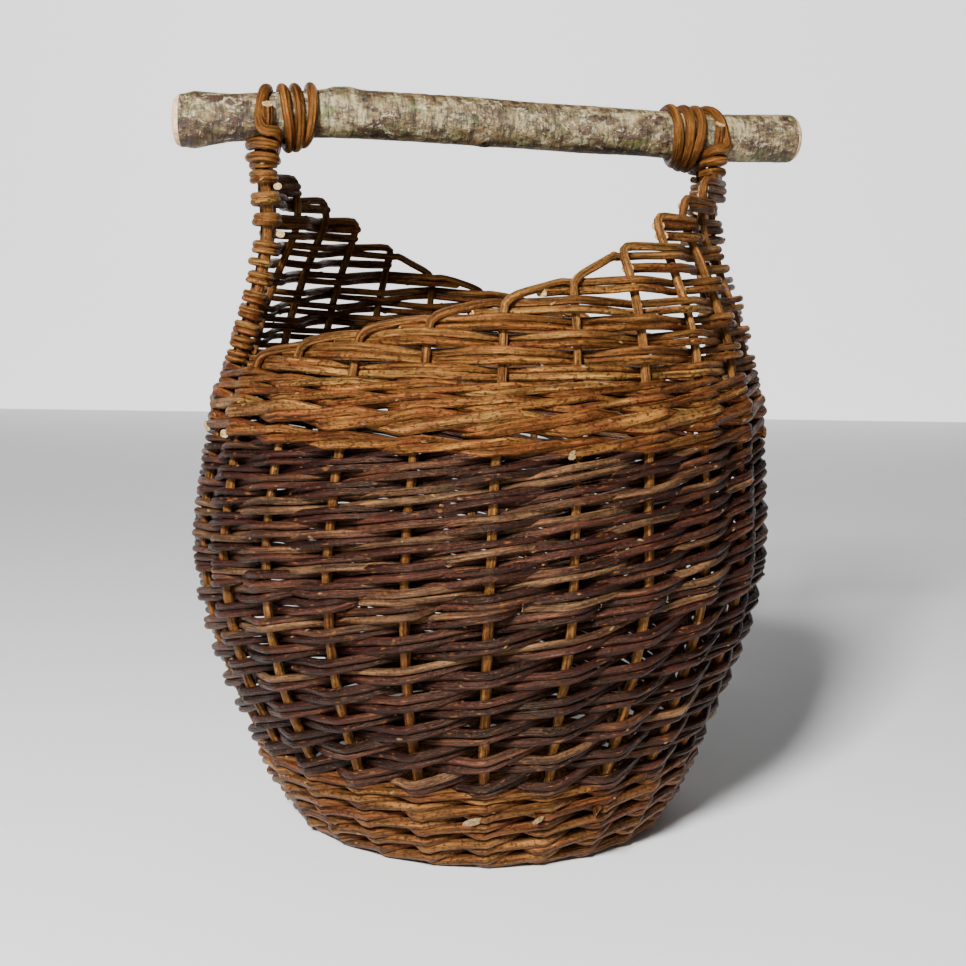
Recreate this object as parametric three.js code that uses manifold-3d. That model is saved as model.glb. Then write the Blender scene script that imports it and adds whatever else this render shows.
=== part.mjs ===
// A round willow log basket with a tapered foot, a wide belly, a thick waist band and two panels of lighter
// weave that climb in steps to a log handle. The wall has half-turn symmetry about the vertical axis: each
// panel starts low beside one handle post and climbs anticlockwise to the other.
// Millimetres, +Z up, +X along the handle, origin on the floor under the middle of the handle's length.
import * as THREE from "three";
import { mergeVertices } from "three/addons/utils/BufferGeometryUtils.js";
import Module from "manifold-3d";

const wasm = await Module();
wasm.setup();

// Wall: outer radius of the weave at a few heights, joined by a smooth curve.
const WALL_HEIGHTS = [0, 30, 70, 130, 200, 280, 345, 440, 530];
const WALL_RADII = [140, 160.5, 179, 204, 220, 215.5, 203.5, 185.5, 184.5];
const WALL_THICKNESS = 21;
const GAP = 0.3;

// Hand-made, so not quite true: the belly leans a little to the left and the neck to the right.
const LEAN_HEIGHTS = [0, 100, 165, 255, 345, 440, 600];
const LEAN = [0, -4.5, -4, -2.2, 3.4, 4.5, 4.5];

// Stakes: the upright rods that the weave goes round.
const STAKES = 24;
const HALF = STAKES / 2;
const STAKE_ANGLE = (2 * Math.PI) / STAKES;
const STAKE_DIAMETER = 8;
const CHANNEL_WIDTH = STAKE_DIAMETER + 3.2;
const STAKE_FOOT = [[93, 11], [122, 11], [136, 15.5]];

// Weave bands, by the heights of their edges.
const FOOT_TOP = 34;
const UPSETT_TOP = 70;
const SIDING_LEVELS = [115, 165, 205, 255];
const WAIST_BOTTOM = 311;
const WAIST_MIDDLE = 328;
const WAIST_TOP = 345;

// Rim: how high each stake reaches above the waist, counted along a panel from its low end.
const RIM_STEP = 10.4;
const RIM_CURL = 1.08;
const RIM_CURL_FROM = 4;
const RIM_TOP = 490;
const RIM_ROD = 8;
const RIM_CLEARANCE = 1.6;
const ROWS_PER_BLOCK = 2;
const PANEL_MARGIN = THREE.MathUtils.degToRad(5);

// Base: an open cross of sticks, woven round, set a little above the floor.
const BASE_BOTTOM = 2;
const BASE_TOP = 20;
const BASE_INNER_RADIUS = 27;
const BASE_OUTER_RADIUS = WALL_RADII[0] - WALL_THICKNESS - GAP;
const STICK_END_RADIUS = 112;
const STICK_SPACING = 14.8;
const STICK_STRAIGHT = 24;
const SLIT_STICK_DIAMETER = 12;
const SLIT_HEIGHT = 7.4;
const THREADED_STICK_DIAMETER = 6.6;
const SLIT_CHANNEL_WIDTH = SLIT_STICK_DIAMETER + 2.8;
const THREADED_CHANNEL_WIDTH = THREADED_STICK_DIAMETER + 1.8;

// Handle: a crooked log of about 35 mm, lashed to two posts of two rods each, and sticking out further to
// the right of the basket than to the left. Stations along it give its rise above HANDLE_HEIGHT.
const HANDLE_LENGTH = 484;
const HANDLE_ASIDE = 9.6;
const HANDLE_RADIUS = 17.4;
const HANDLE_HEIGHT = 523;
const HANDLE_STATIONS = [-242, -190, -95, -30, 60, 130, 190, 242];
const HANDLE_RISE = [-6, -1.6, 4, 2, 0.4, -2, -2, -1];
const POST_ROD_DIAMETER = 9;
const POST_ROD_SPREAD = 4.9;
const POST_SPLAY_HEIGHT = 486;
const POST_LOG_CLEARANCE = 1.4;
const LASHING_DIAMETER = 6.6;
const LASHING_TURNS = 4;
const LASHING_PITCH = 8.2;
const LASHING_START = 14;
const LASHING_CLEARANCE = 2.6;
const BINDING_DIAMETER = 5.2;
const BINDING_TURNS = 2;
const BINDING_PITCH = 5.8;
const BINDING_BOTTOM = 488;
const BINDING_CLEARANCE = 3.3;
const PANEL_TOP = 484;

const root = new THREE.Group();

// ---- materials ----

const willow = (color, roughness) => new THREE.MeshStandardMaterial({ color, roughness, metalness: 0 });
const stakeMaterial = willow(0x8a6234, 0.55);
const darkMaterial = willow(0x4a2418, 0.5);
const lightMaterial = willow(0x8c6430, 0.5);
const footMaterial = willow(0x83602f, 0.55);
const baseMaterial = willow(0x6f5230, 0.6);
const barkMaterial = willow(0x8b8068, 0.7);
const lashingMaterial = willow(0x8a5a24, 0.45);

// ---- curves ----

const wallCurve = new THREE.CubicInterpolant(WALL_HEIGHTS, WALL_RADII, 1);
const outerRadius = (z) => wallCurve.evaluate(z)[0];
const stakeRadius = (z) => outerRadius(z) - WALL_THICKNESS / 2;
const polar = (radius, angle, z) => new THREE.Vector3(radius * Math.cos(angle), radius * Math.sin(angle), z);
const onStake = (angle, z) => polar(stakeRadius(z), angle, z);

// A curve that goes straight from one given point to the next, with a section at each point.
class Polyline extends THREE.Curve {
  constructor(points) {
    super();
    this.points = points;
  }
  getSpacedPoints() {
    return this.points.map((p) => p.clone());
  }
  getTangentAt(u, target = new THREE.Vector3()) {
    const last = this.points.length - 1;
    const i = Math.round(u * last);
    const before = this.points[Math.max(i - 1, 0)];
    const after = this.points[Math.min(i + 1, last)];
    return target.subVectors(after, before).normalize();
  }
}

// ---- solids ----

function regularSection(diameter, sides) {
  const shape = new THREE.Shape();
  const radius = diameter / 2 / Math.cos(Math.PI / sides);
  for (let i = 0; i < sides; i++) {
    const a = ((i + 0.5) / sides) * 2 * Math.PI;
    if (i === 0) shape.moveTo(radius * Math.cos(a), radius * Math.sin(a));
    else shape.lineTo(radius * Math.cos(a), radius * Math.sin(a));
  }
  shape.closePath();
  return shape;
}

function sweep(shape, points) {
  return new THREE.ExtrudeGeometry(shape, {
    steps: points.length - 1,
    bevelEnabled: false,
    extrudePath: new Polyline(points),
  });
}

const rod = (diameter, points, sides = 6) => sweep(regularSection(diameter, sides), points);
const channel = (points, width = CHANNEL_WIDTH) => rod(width, points, 4);

// A full ring of the wall between two heights, with an edge at each level in between.
function wallRing(levels) {
  const z0 = levels[0] === 0 ? 0 : levels[0] + GAP / 2;
  const z1 = levels.at(-1) - GAP / 2;
  const heights = [z0, ...levels.slice(1, -1), z1];
  const outer = heights.map((z) => new THREE.Vector2(outerRadius(z), z));
  const inner = heights.map((z) => new THREE.Vector2(outerRadius(z) - WALL_THICKNESS, z)).reverse();
  return new THREE.LatheGeometry([...outer, ...inner, outer[0]], STAKES).rotateX(Math.PI / 2);
}

// A stretch of the wall between two heights and two angles, with an edge at each stake.
function wallSector(z0, z1, from, to) {
  const angles = [from];
  for (let k = Math.ceil(from / STAKE_ANGLE); k * STAKE_ANGLE < to; k++) angles.push(k * STAKE_ANGLE);
  angles.push(to);
  const pathRadius = stakeRadius(z0);
  const bottom = outerRadius(z0) - pathRadius;
  const top = outerRadius(z1) - pathRadius;
  const height = z1 - z0;
  // Along a level arc the section's x points down and its y points inwards.
  const section = new THREE.Shape([
    new THREE.Vector2(0, -bottom),
    new THREE.Vector2(-height, -top),
    new THREE.Vector2(-height, WALL_THICKNESS - top),
    new THREE.Vector2(0, WALL_THICKNESS - bottom),
  ]);
  return sweep(section, angles.map((a) => polar(pathRadius, a, z0)));
}

function toSolid(geometry) {
  const plain = geometry.clone();
  plain.deleteAttribute("normal");
  plain.deleteAttribute("uv");
  const merged = mergeVertices(plain, 1e-3);
  return new wasm.Manifold(
    new wasm.Mesh({
      numProp: 3,
      vertProperties: new Float32Array(merged.attributes.position.array),
      triVerts: new Uint32Array(merged.index.array),
    }),
  );
}

function toGeometry(solid) {
  const mesh = solid.getMesh();
  const position = new Float32Array(mesh.numVert * 3);
  for (let i = 0; i < mesh.numVert; i++) {
    position.set(mesh.vertProperties.subarray(i * mesh.numProp, i * mesh.numProp + 3), i * 3);
  }
  return new THREE.BufferGeometry()
    .setAttribute("position", new THREE.BufferAttribute(position, 3))
    .setIndex(new THREE.BufferAttribute(mesh.triVerts, 1));
}

function cut(geometry, cutters) {
  return toGeometry(cutters.reduce((solid, cutter) => solid.subtract(toSolid(cutter)), toSolid(geometry)));
}

const leanCurve = new THREE.LinearInterpolant(LEAN_HEIGHTS, LEAN, 1);
const aside = (z) => leanCurve.evaluate(z)[0] - HANDLE_ASIDE;

// Everything but the log is worked out round the basket's own axis, then moved and leant to its place.
function settle(geometry) {
  const position = geometry.getAttribute("position");
  for (let i = 0; i < position.count; i++) {
    position.setX(i, position.getX(i) + aside(position.getZ(i)));
  }
}

function addPiece(name, geometry, material, settles = true) {
  if (settles) settle(geometry);
  const mesh = new THREE.Mesh(geometry, material);
  mesh.name = name;
  root.add(mesh);
}

const numbered = (name, i) => `${name}_${String(i).padStart(2, "0")}`;

// ---- rim heights ----

const rimCurl = (step) => RIM_CURL * Math.max(0, step - RIM_CURL_FROM) ** 2;
const rimHeight = (step) => Math.min(RIM_TOP, WAIST_TOP + RIM_STEP * step + rimCurl(step));
const rowTop = (step) => (step === 0 ? WAIST_TOP : rimHeight(step) - RIM_ROD - RIM_CLEARANCE);

// ---- stakes ----

const footPoints = (angle) => STAKE_FOOT.map(([radius, z]) => polar(radius, angle, z));
const wallLevels = [FOOT_TOP, UPSETT_TOP, ...SIDING_LEVELS, WAIST_BOTTOM, WAIST_TOP];
const levelsUpTo = (top) => {
  const panel = [];
  for (let step = 4; step < HALF; step += 4) panel.push(rowTop(step));
  return [...wallLevels, ...panel].filter((z) => z < top - 6);
};

// The centre line of the stake at one step of a panel: out of the base, up the wall, over to the right.
function stakePoints(step, angle) {
  const armHeight = rimHeight(step) - RIM_ROD / 2;
  const bend = RIM_ROD * 0.9;
  const arm = (along, z) => onStake(angle + along / stakeRadius(z), z);
  return [
    ...footPoints(angle),
    ...levelsUpTo(armHeight - bend).map((z) => onStake(angle, z)),
    onStake(angle, armHeight - bend),
    arm(bend * 0.3, armHeight - bend * 0.3),
    arm(bend, armHeight),
    arm(bend * 2.3, armHeight + 0.6),
  ];
}

const panelAngle = (panel, step) => (panel * HALF + step) * STAKE_ANGLE;

function addStakes() {
  let number = 1;
  for (const panel of [0, 1]) {
    for (let step = 1; step < HALF; step++) {
      const points = stakePoints(step, panelAngle(panel, step));
      addPiece(numbered("stake", number++), rod(STAKE_DIAMETER, points), stakeMaterial);
    }
  }
}

// What every weave band leaves free for the stakes and posts that run through it.
const straightStake = (angle) => [
  ...footPoints(angle),
  ...[...levelsUpTo(PANEL_TOP), RIM_TOP].map((z) => onStake(angle, z)),
];
const stakeChannels = Array.from({ length: STAKES }, (_, k) => channel(straightStake(k * STAKE_ANGLE)));

// ---- handle posts ----

const riseCurve = new THREE.CubicInterpolant(HANDLE_STATIONS, HANDLE_RISE, 1);
const handleHeight = (x) => HANDLE_HEIGHT + riseCurve.evaluate(x)[0];
const postSides = [
  { name: "right", angle: 0, sign: 1 },
  { name: "left", angle: Math.PI, sign: -1 },
];
const postX = () => stakeRadius(HANDLE_HEIGHT + 8);

// How far each of a post's two rods stands from the post's middle: they open to take the log between them.
const BESIDE_LOG = HANDLE_RADIUS + POST_ROD_DIAMETER / 2 + POST_LOG_CLEARANCE;
const postSpread = [
  [WAIST_TOP + 12, POST_ROD_SPREAD],
  [420, POST_ROD_SPREAD],
  [POST_SPLAY_HEIGHT, POST_ROD_SPREAD + 1.6],
  [HANDLE_HEIGHT - 17, BESIDE_LOG * 0.76],
  [HANDLE_HEIGHT - 8, BESIDE_LOG],
  [HANDLE_HEIGHT + 10, BESIDE_LOG],
];
const spreadCurve = new THREE.LinearInterpolant(postSpread.map((p) => p[0]), postSpread.map((p) => p[1]), 1);

// A post's rod on the near (-Y) or far (+Y) side of the log. The stake among them comes up from the base.
function postRodPoints(post, side, isStake) {
  const above = postSpread.map(([z, y]) => new THREE.Vector3(post.sign * stakeRadius(z), side * y, z));
  if (!isStake) return above;
  return [...footPoints(post.angle), ...wallLevels.map((z) => onStake(post.angle, z)), ...above];
}

// What the upper weave leaves free for a post's two rods.
const postChannels = (post) => [
  channel(postRodPoints(post, -1, true)),
  channel(postRodPoints(post, 1, false)),
];

function addPosts() {
  for (const post of postSides) {
    const near = postRodPoints(post, -1, true);
    const far = postRodPoints(post, 1, false);
    addPiece(`${post.name}_post_stake`, rod(POST_ROD_DIAMETER, near), stakeMaterial);
    addPiece(`${post.name}_post_liner`, rod(POST_ROD_DIAMETER, far), stakeMaterial);
  }
}

// ---- weave bands ----

function addBands() {
  const [low, middle, belly, high] = SIDING_LEVELS;
  const bands = [
    ["upsett_wale_lower", [0, FOOT_TOP], footMaterial],
    ["upsett_wale_upper", [FOOT_TOP, UPSETT_TOP], footMaterial],
    ["dark_siding_lower", [UPSETT_TOP, low, middle], darkMaterial],
    ["dark_siding_middle", [middle, belly, high], darkMaterial],
    ["dark_siding_upper", [high, WAIST_BOTTOM], darkMaterial],
    ["waist_wale_lower", [WAIST_BOTTOM, WAIST_MIDDLE], lightMaterial],
    ["waist_wale_upper", [WAIST_MIDDLE, WAIST_TOP], lightMaterial],
  ];
  for (const [name, levels, material] of bands) {
    const postWays = levels.at(-1) === WAIST_TOP ? postSides.flatMap(postChannels) : [];
    addPiece(name, cut(wallRing(levels), [...stakeChannels, ...postWays]), material);
  }
}

// A panel is built of blocks of rows. Each row starts at its own stake and ends round the post.
function addPanels() {
  for (const [panel, name, post] of [[0, "back_panel", postSides[1]], [1, "front_panel", postSides[0]]]) {
    const end = panelAngle(panel, HALF) + PANEL_MARGIN;
    for (let first = 1; first <= HALF; first += ROWS_PER_BLOCK) {
      let block = null;
      for (let step = first; step < first + ROWS_PER_BLOCK; step++) {
        const bottom = rowTop(step - 1) + (step === first ? GAP / 2 : -0.5);
        const top = (step === HALF ? PANEL_TOP : rowTop(step)) - GAP / 2;
        const row = toSolid(wallSector(bottom, top, panelAngle(panel, step) - PANEL_MARGIN, end));
        block = block ? block.add(row) : row;
      }
      const inside = stakeChannels.filter((_, k) => k * STAKE_ANGLE < end && k >= panel * HALF + first);
      const cutters = [...inside, ...postChannels(post)];
      const free = cutters.reduce((s, c) => s.subtract(toSolid(c)), block);
      addPiece(`${name}_rows_${(first + 1) / ROWS_PER_BLOCK}`, toGeometry(free), lightMaterial);
    }
  }
}

// ---- base ----

// The twelve stick ends lie halfway between pairs of stakes. Three sticks are slit, and three go through them.
const BASE_TURN = STAKE_ANGLE / 2;
const FAN = THREE.MathUtils.degToRad(30);

function stickPoints(across, lane) {
  const z = (BASE_BOTTOM + BASE_TOP) / 2;
  const end = (angle) => polar(STICK_END_RADIUS, angle, z);
  const turn = (p) => p.applyAxisAngle(new THREE.Vector3(0, 0, 1), BASE_TURN + across * (Math.PI / 2));
  const middle = (x) => new THREE.Vector3(x, lane * STICK_SPACING, z);
  return [
    end(Math.PI - lane * FAN),
    middle(-STICK_STRAIGHT),
    middle(STICK_STRAIGHT),
    end(lane * FAN),
  ].map(turn);
}

function addBase() {
  const channels = [];
  const slit = new THREE.BoxGeometry(2 * STICK_SPACING + 10, 2 * STICK_SPACING + 60, SLIT_HEIGHT);
  slit.rotateZ(BASE_TURN).translate(0, 0, (BASE_BOTTOM + BASE_TOP) / 2);
  for (const lane of [-1, 0, 1]) {
    const slitPoints = stickPoints(0, lane);
    const threadedPoints = stickPoints(1, lane);
    addPiece(`base_slit_stick_${lane + 2}`, cut(rod(SLIT_STICK_DIAMETER, slitPoints), [slit]), baseMaterial);
    addPiece(`base_threaded_stick_${lane + 2}`, rod(THREADED_STICK_DIAMETER, threadedPoints), baseMaterial);
    channels.push(channel(slitPoints, SLIT_CHANNEL_WIDTH), channel(threadedPoints, THREADED_CHANNEL_WIDTH));
  }
  const profile = [
    new THREE.Vector2(BASE_INNER_RADIUS, BASE_BOTTOM),
    new THREE.Vector2(BASE_OUTER_RADIUS, BASE_BOTTOM),
    new THREE.Vector2(BASE_OUTER_RADIUS, BASE_TOP),
    new THREE.Vector2(BASE_INNER_RADIUS, BASE_TOP),
  ];
  const disc = new THREE.LatheGeometry([...profile, profile[0]], STAKES).rotateX(Math.PI / 2);
  addPiece("base_weave", cut(disc, [...channels, ...stakeChannels]), baseMaterial);
}

// ---- handle ----

function addHandle() {
  const half = HANDLE_LENGTH / 2;
  const profile = [
    [0, -half],
    [12, -half + 1],
    [18.6, -half + 7],
    [20.2, -half + 14],
    [18.2, -half + 28],
    [16.6, -half + 42],
    [17, -half + 120],
    [HANDLE_RADIUS, -half + 200],
    [17.6, half - 150],
    [18.2, half - 60],
    [18.6, half - 14],
    [14, half - 3],
    [0, half],
  ].map(([radius, x]) => new THREE.Vector2(radius, x));
  const log = new THREE.LatheGeometry(profile, 12).rotateZ(-Math.PI / 2);
  const position = log.getAttribute("position");
  for (let i = 0; i < position.count; i++) {
    position.setZ(i, position.getZ(i) + handleHeight(position.getX(i)));
  }
  addPiece("log_handle", log, barkMaterial, false);
}

function addLashings() {
  const coilRadius = HANDLE_RADIUS + LASHING_DIAMETER / 2 + LASHING_CLEARANCE;
  const perTurn = 10;
  for (const post of postSides) {
    const points = [];
    for (let i = 0; i <= LASHING_TURNS * perTurn; i++) {
      const a = (i / perTurn) * 2 * Math.PI + Math.PI / 2;
      const x = post.sign * (postX() - LASHING_START - (i / perTurn) * LASHING_PITCH);
      const z = handleHeight(x + aside(HANDLE_HEIGHT)) + coilRadius * Math.sin(a);
      points.push(new THREE.Vector3(x, coilRadius * Math.cos(a), z));
    }
    addPiece(`${post.name}_lashing`, rod(LASHING_DIAMETER, points), lashingMaterial);

    const loop = [];
    const short = POST_ROD_DIAMETER / 2 + BINDING_DIAMETER / 2 + BINDING_CLEARANCE;
    for (let i = 0; i <= BINDING_TURNS * perTurn; i++) {
      const a = (i / perTurn) * 2 * Math.PI;
      const z = BINDING_BOTTOM + (i / perTurn) * BINDING_PITCH;
      const long = spreadCurve.evaluate(z)[0] + short + BINDING_DIAMETER / 2;
      const x = post.sign * (stakeRadius(z) + short * Math.cos(a));
      loop.push(new THREE.Vector3(x, long * Math.sin(a), z));
    }
    addPiece(`${post.name}_post_binding`, rod(BINDING_DIAMETER, loop), lashingMaterial);
  }
}

addBase();
addStakes();
addPosts();
addBands();
addPanels();
addHandle();
addLashings();

export default root;
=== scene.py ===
import math

import bpy
import numpy as np
from mathutils import Matrix, Vector, noise


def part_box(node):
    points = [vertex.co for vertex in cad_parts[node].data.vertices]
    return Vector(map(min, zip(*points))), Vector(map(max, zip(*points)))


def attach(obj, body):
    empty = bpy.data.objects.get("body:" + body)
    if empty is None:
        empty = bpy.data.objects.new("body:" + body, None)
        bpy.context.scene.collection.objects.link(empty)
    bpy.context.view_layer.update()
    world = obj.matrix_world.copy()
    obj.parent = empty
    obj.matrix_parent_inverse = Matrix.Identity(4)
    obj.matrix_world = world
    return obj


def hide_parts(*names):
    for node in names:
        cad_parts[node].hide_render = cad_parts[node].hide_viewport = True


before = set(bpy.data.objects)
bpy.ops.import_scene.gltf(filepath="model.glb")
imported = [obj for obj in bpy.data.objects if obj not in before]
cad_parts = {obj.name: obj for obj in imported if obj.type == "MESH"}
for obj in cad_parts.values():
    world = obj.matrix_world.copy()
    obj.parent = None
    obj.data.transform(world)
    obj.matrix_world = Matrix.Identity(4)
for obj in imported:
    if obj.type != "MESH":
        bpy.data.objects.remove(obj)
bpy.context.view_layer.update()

MM = 0.001

# ---- driving dimensions ----

STAKES = 24
HALF = STAKES // 2
STAKE_ANGLE = 2 * math.pi / STAKES
WALL_THICKNESS = 21 * MM
STAKE_RADIUS = 3.9 * MM
STAKE_TIP_RADIUS = 3.4 * MM
STAKE_FOOT = [(93 * MM, 11 * MM), (122 * MM, 11 * MM), (136 * MM, 15.5 * MM)]

FOOT_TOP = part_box("upsett_wale_upper")[1].z
DARK_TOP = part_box("dark_siding_upper")[1].z
WAIST_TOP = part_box("waist_wale_upper")[1].z
DARK_CHANGE = 0.203
RIM = [WAIST_TOP] + [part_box(f"stake_{step:02d}")[1].z for step in range(1, HALF)]
# the high stakes' tops stand a little off the CAD's even curve: step, and how much higher
for step, higher in ((7, 6.5 * MM), (8, 9 * MM), (9, 3.5 * MM), (10, -3.5 * MM)):
    RIM[step] += higher
LEVEL_FROM = 7
# near the top, the weave between the posts leans in further than the posts do
NECK_PULL = 20 * MM
NECK_FROM = 0.4
NECK_RISE = 55 * MM

POST_ROD_RADIUS = 4.3 * MM
POST_SPREAD = 4.9 * MM
HANDLE_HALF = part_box("log_handle")[1].x
HANDLE_RADIUS = 17.4 * MM
HANDLE_HEIGHT = 0.523

# ---- the wall ----


# how far below the wall's hull a level may reach and still count as wall, not as a gap between rods
DIP = 9.5 * MM


def outer_edge(points):
    """The outline of (height, reach) points where reach is largest, without the dips between rods."""
    furthest = {}
    for z, reach in points:
        level = round(z / (3 * MM))
        furthest[level] = max(furthest.get(level, (0, 0)), (reach, z))
    rising = [furthest[level] for level in sorted(furthest)]
    edge = []
    for reach, z in rising:
        while len(edge) > 1:
            (z0, r0), (z1, r1) = edge[-2:]
            if (z1 - z0) * (reach - r0) < (r1 - r0) * (z - z0):
                break
            edge.pop()
        edge.append((z, reach))
    hull = np.array(edge)
    return np.array([(z, reach) for reach, z in rising if reach > np.interp(z, *hull.T) - DIP])


def read_profile():
    """Outlines of the CAD wall at its right and left ends, as heights and how far out they reach."""
    right, left = [], []
    for name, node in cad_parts.items():
        if not any(word in name for word in ("wale", "siding", "panel")):
            continue
        for vertex in node.data.vertices:
            x, y, z = vertex.co
            if abs(y) < 0.1 * MM:
                (right if x > 0 else left).append((z, abs(x)))
    return outer_edge(right), outer_edge(left)


def hermite(u, width, start, start_slope, end, end_slope):
    """The cubic between two values with given slopes, at a share u of the way."""
    return (
        (1 + 2 * u) * (1 - u) ** 2 * start
        + u * (1 - u) ** 2 * width * start_slope
        + u * u * (3 - 2 * u) * end
        + u * u * (u - 1) * width * end_slope
    )


def smooth_table(xs, ys, at):
    """A smooth curve through the points, sampled at the given places, with straight ends."""
    slopes = np.gradient(ys, xs)
    inside = np.clip(at, xs[0], xs[-1])
    i = np.clip(np.searchsorted(xs, inside) - 1, 0, len(xs) - 2)
    width = xs[i + 1] - xs[i]
    u = (inside - xs[i]) / width
    value = hermite(u, width, ys[i], slopes[i], ys[i + 1], slopes[i + 1])
    value += np.minimum(at - xs[0], 0) * slopes[0]
    value += np.maximum(at - xs[-1], 0) * slopes[-1]
    return value


def blurred(values, times=8):
    for _ in range(times):
        values[1:-1] = (values[:-2] + 2 * values[1:-1] + values[2:]) / 4
    return values


PROFILE_Z = np.arange(-0.02, 0.62, 0.002)
RIGHT_EDGE, LEFT_EDGE = (blurred(smooth_table(edge[:, 0], edge[:, 1], PROFILE_Z)) for edge in read_profile())
PROFILE_R = (RIGHT_EDGE + LEFT_EDGE) / 2
PROFILE_X = (RIGHT_EDGE - LEFT_EDGE) / 2
PROFILE_SLOPE = np.gradient(PROFILE_R, PROFILE_Z)


def middle_x(z):
    """Where the basket's own axis stands at a height: it leans, and the frame is centred on the log."""
    return np.interp(z, PROFILE_Z, PROFILE_X)


def stake_radius(z):
    return np.interp(z, PROFILE_Z, PROFILE_R) - WALL_THICKNESS / 2


def neck_pull(step, height):
    """How far the weave is drawn in at a place: none low down and at the posts, most halfway between them."""
    from_post = abs((step + HALF / 2) % HALF - HALF / 2)
    return NECK_PULL * np.clip((height - NECK_FROM) / NECK_RISE, 0, 1) * np.clip((from_post - 0.35) / 2, 0, 1)


def on_wall(step, height, out=0.0, up=0.0):
    """The point at a stake number and a height on the line of the stakes, moved out and up along the wall."""
    slope = np.interp(height, PROFILE_Z, PROFILE_SLOPE)
    norm = np.sqrt(1 + slope * slope)
    radius = stake_radius(height) - neck_pull(step, height) + (out + up * slope) / norm
    z = height + (up - out * slope) / norm
    angle = np.asarray(step) * STAKE_ANGLE
    x = middle_x(z) + radius * np.cos(angle)
    return np.stack(np.broadcast_arrays(x, radius * np.sin(angle), z), -1)


def steps_for(along, height):
    """How many stake spacings a length along the wall is, at one height."""
    return along / (stake_radius(height) * STAKE_ANGLE)


# ---- rods ----


def smooth_path(points, spacing):
    """A smooth curve through the points, with samples about one spacing apart."""
    points = np.asarray(points, float)
    gaps = np.linalg.norm(np.diff(points, axis=0), axis=1)
    keep = np.concatenate([[True], gaps > 0.0004])
    points = points[keep]
    gaps = np.linalg.norm(np.diff(points, axis=0), axis=1)
    knots = np.concatenate([[0], np.cumsum(np.sqrt(gaps))])
    counts = np.maximum(1, np.round(gaps / spacing).astype(int))
    at = [np.linspace(knots[i], knots[i + 1], counts[i], endpoint=False) for i in range(len(gaps))]
    at = np.concatenate(at + [[knots[-1]]])
    before = np.diff(knots)
    change = np.diff(points, axis=0) / before[:, None]
    slopes = np.empty_like(points)
    slopes[0], slopes[-1] = change[0], change[-1]
    weight = (before[:-1] / (before[:-1] + before[1:]))[:, None]
    slopes[1:-1] = change[:-1] * (1 - weight) + change[1:] * weight
    i = np.clip(np.searchsorted(knots, at, side="right") - 1, 0, len(before) - 1)
    width = before[i][:, None]
    u = ((at - knots[i]) / before[i])[:, None]
    return hermite(u, width, points[i], slopes[i], points[i + 1], slopes[i + 1])


def turning_frames(path):
    """Tangents of a path, with normals that turn as little as they can along it."""
    tangents = np.gradient(path, axis=0)
    tangents /= np.linalg.norm(tangents, axis=1)[:, None]
    normal = np.cross(tangents[0], (0, 0, 1.0))
    if np.linalg.norm(normal) < 0.3:
        normal = np.cross(tangents[0], (path[0][1], -path[0][0], 0.0))
    normal /= np.linalg.norm(normal)
    normals = [normal]
    for i in range(len(path) - 1):
        normal = normal - tangents[i + 1] * np.dot(normal, tangents[i + 1])
        normal /= np.linalg.norm(normal)
        normals.append(normal)
    normals = np.array(normals)
    return tangents, normals, np.cross(tangents, normals)


def store(mesh, name, values, kind="FLOAT", key="value"):
    """Keeps one value a vertex on a mesh, for its material to read."""
    layer = mesh.attributes.new(name, kind, "POINT")
    layer.data.foreach_set(key, values.astype(np.float32).ravel())


def link_object(name, data):
    made = bpy.data.objects.new(name, data)
    bpy.context.scene.collection.objects.link(made)
    return made


def finished(mesh, material):
    mesh.shade_smooth()
    mesh.materials.append(material)
    return link_object(mesh.name, mesh)


# the share of a rod's strip of the bake map that its bark takes, and where its cut ends lie in it
STRIP_LOW, STRIP_HIGH, STRIP_ENDS = 0.06, 0.86, 0.97


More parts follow.
